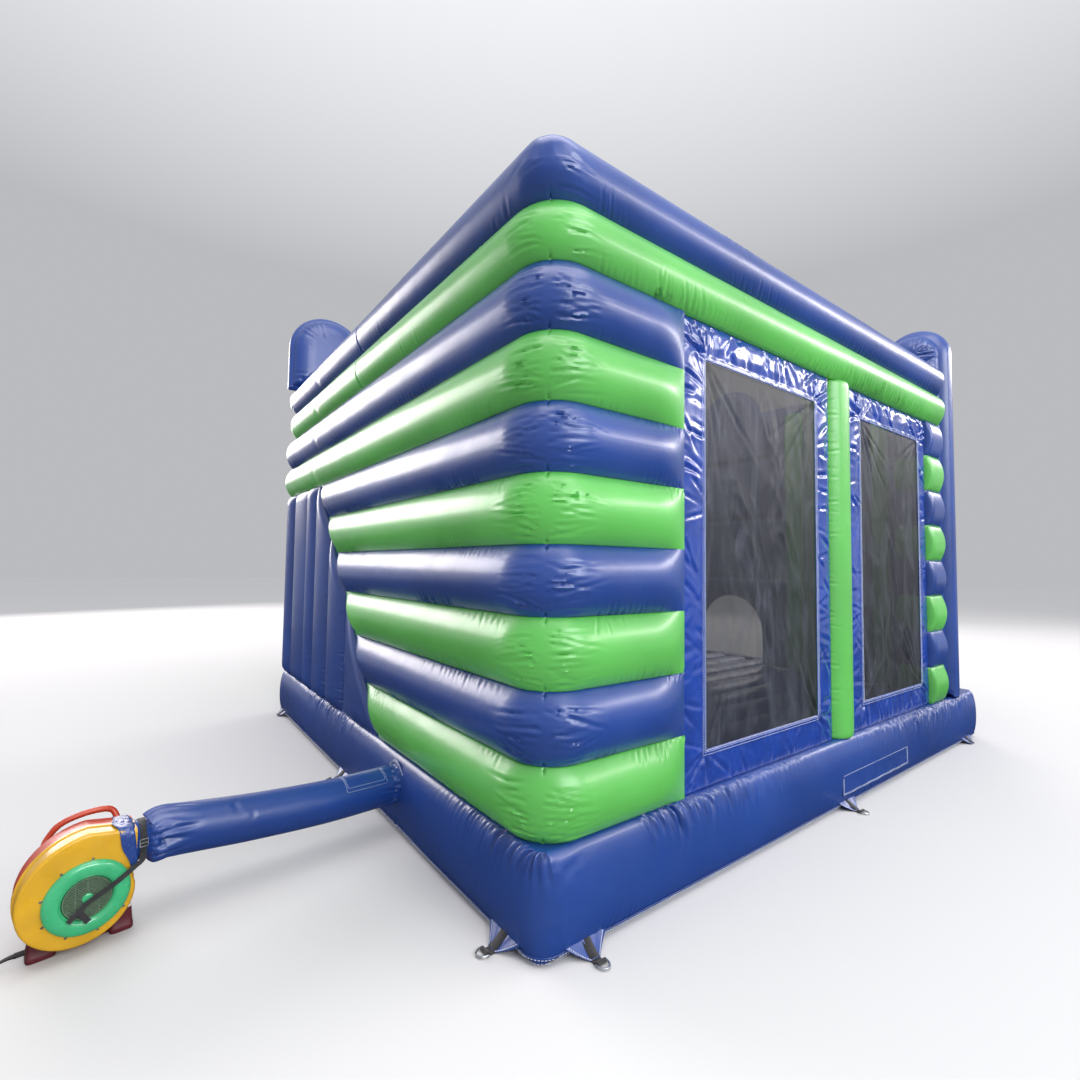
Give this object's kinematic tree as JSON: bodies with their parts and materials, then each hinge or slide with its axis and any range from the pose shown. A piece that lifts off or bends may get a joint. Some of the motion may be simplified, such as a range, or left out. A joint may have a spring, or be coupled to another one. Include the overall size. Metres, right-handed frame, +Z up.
{
  "type": "inflatable bounce house",
  "caption": "Open-topped inflatable bounce house with banded tube walls, net windows, climbing ramp and slide, held up by a blower through an air tube.",
  "frame": {"origin": "on the ground under the middle of the mattress, on the mattress's flat underside", "axes": "+X from the window side to the slide side, +Y from the entrance side to the back wall with the blower, +Z up"},
  "size_m": [4.6428, 6.954, 4.16],
  "materials": {
    "blue_vinyl": "glossy coated fabric, royal blue, welded and stitched",
    "green_vinyl": "glossy coated fabric, bright green, welded and stitched",
    "window_vinyl": "thin glossy coated fabric, blue, unsupported and wrinkled",
    "black_mesh": "woven black safety net",
    "black_webbing": "woven black webbing",
    "zinc_steel": "zinc plated wire and die-cast slider",
    "yellow_plastic": "moulded yellow plastic",
    "mint_plastic": "moulded green plastic, glossy",
    "red_plastic": "moulded red plastic",
    "maroon_plastic": "moulded dark red plastic",
    "dark_plastic": "black plastic and rubber",
    "grey_alloy": "cast and pressed aluminium"
  },
  "bodies": {
    "house": {"air_tube": "blue_vinyl", "anchor_strap_1": "black_webbing", "anchor_strap_2": "black_webbing", "anchor_strap_3": "black_webbing", "anchor_strap_4": "black_webbing", "back_tube_10_green": "green_vinyl", "back_tube_3_blue": "blue_vinyl", "back_tube_4_green": "green_vinyl", "back_tube_5_blue": "blue_vinyl", "back_tube_6_green": "green_vinyl", "back_tube_7_blue": "blue_vinyl", "back_tube_8_green": "green_vinyl", "back_tube_9_blue": "blue_vinyl", "base_mattress": "blue_vinyl", "blower_stand": "maroon_plastic", "carry_handle": "red_plastic", "climb_ramp": "green_vinyl", "cord_gland": "dark_plastic", "corner_panel_window_side": "blue_vinyl", "cuff_strap": "black_webbing", "divider_wall": "blue_vinyl", "entrance_arch": "blue_vinyl", "facade_left_panel": "blue_vinyl", "front_banded_column": "blue_vinyl", "front_left_pillar": "blue_vinyl", "front_window_net": "black_mesh", "front_window_panel": "window_vinyl", "intake_grille": "dark_plastic", "intake_ring": "mint_plastic", "motor": "grey_alloy", "motor_cover": "maroon_plastic", "outlet_nozzle": "yellow_plastic", "platform": "blue_vinyl", "power_cord": "dark_plastic", "power_cord_coil": "dark_plastic", "power_plug": "dark_plastic", "rear_right_crown": "blue_vinyl", "rear_window_net": "black_mesh", "rear_window_panel": "window_vinyl", "slide_bed": "green_vinyl", "slide_exit_arch": "blue_vinyl", "slide_side_wall": "blue_vinyl", "top_tube_blue_back": "blue_vinyl", "top_tube_blue_slide_side": "blue_vinyl", "top_tube_blue_window_side": "blue_vinyl", "top_tube_green_back": "green_vinyl", "top_tube_green_slide_side": "green_vinyl", "top_tube_green_window_side": "green_vinyl", "tower_back_panel": "blue_vinyl", "volute_cover": "yellow_plastic", "volute_housing": "red_plastic", "window_post": "green_vinyl"},
    "fan_rotor": {"impeller": "grey_alloy"},
    "switch_rocker": {"power_switch": "dark_plastic"},
    "flap": {"deflation_flap": "blue_vinyl"},
    "zip_pull": {"zip_slider": "zinc_steel"},
    "ring_1": {"anchor_ring_1": "zinc_steel"},
    "ring_2": {"anchor_ring_2": "zinc_steel"},
    "ring_3": {"anchor_ring_3": "zinc_steel"},
    "ring_4": {"anchor_ring_4": "zinc_steel"}
  },
  "joints": [
    {"name": "impeller_spin", "type": "hinge", "parent": "house", "child": "fan_rotor", "pos_m": [-1.04, 3.9, 0.225], "axis": [0.9903, 0.1392, 0], "continuous": true},
    {"name": "switch_rock", "type": "hinge", "parent": "house", "child": "switch_rocker", "pos_m": [-0.92612, 3.916, 0.331], "axis": [-0.1392, 0.9903, 0], "range_deg": [0, 24]},
    {"name": "flap_open", "type": "hinge", "parent": "house", "child": "flap", "pos_m": [-2.259, -0.35, 0.225], "axis": [0, 1, 0], "range_deg": [0, 150]},
    {"name": "zip_slide", "type": "slide", "parent": "house", "child": "zip_pull", "axis": [0, -1, 0], "range_m": [0, 0.93]},
    {"name": "ring_1_swing", "type": "hinge", "parent": "house", "child": "ring_1", "pos_m": [-2.02, 2.63, 0.01], "axis": [1, 0, 0], "range_deg": [0, 150]},
    {"name": "ring_2_swing", "type": "hinge", "parent": "house", "child": "ring_2", "pos_m": [-2.33, 2.3, 0.01], "axis": [0, 1, 0], "range_deg": [0, 150]},
    {"name": "ring_3_swing", "type": "hinge", "parent": "house", "child": "ring_3", "pos_m": [-2.33, 0.07, 0.01], "axis": [0, 1, 0], "range_deg": [0, 150]},
    {"name": "ring_4_swing", "type": "hinge", "parent": "house", "child": "ring_4", "pos_m": [0.07, 2.63, 0.01], "axis": [1, 0, 0], "range_deg": [0, 150]}
  ]
}
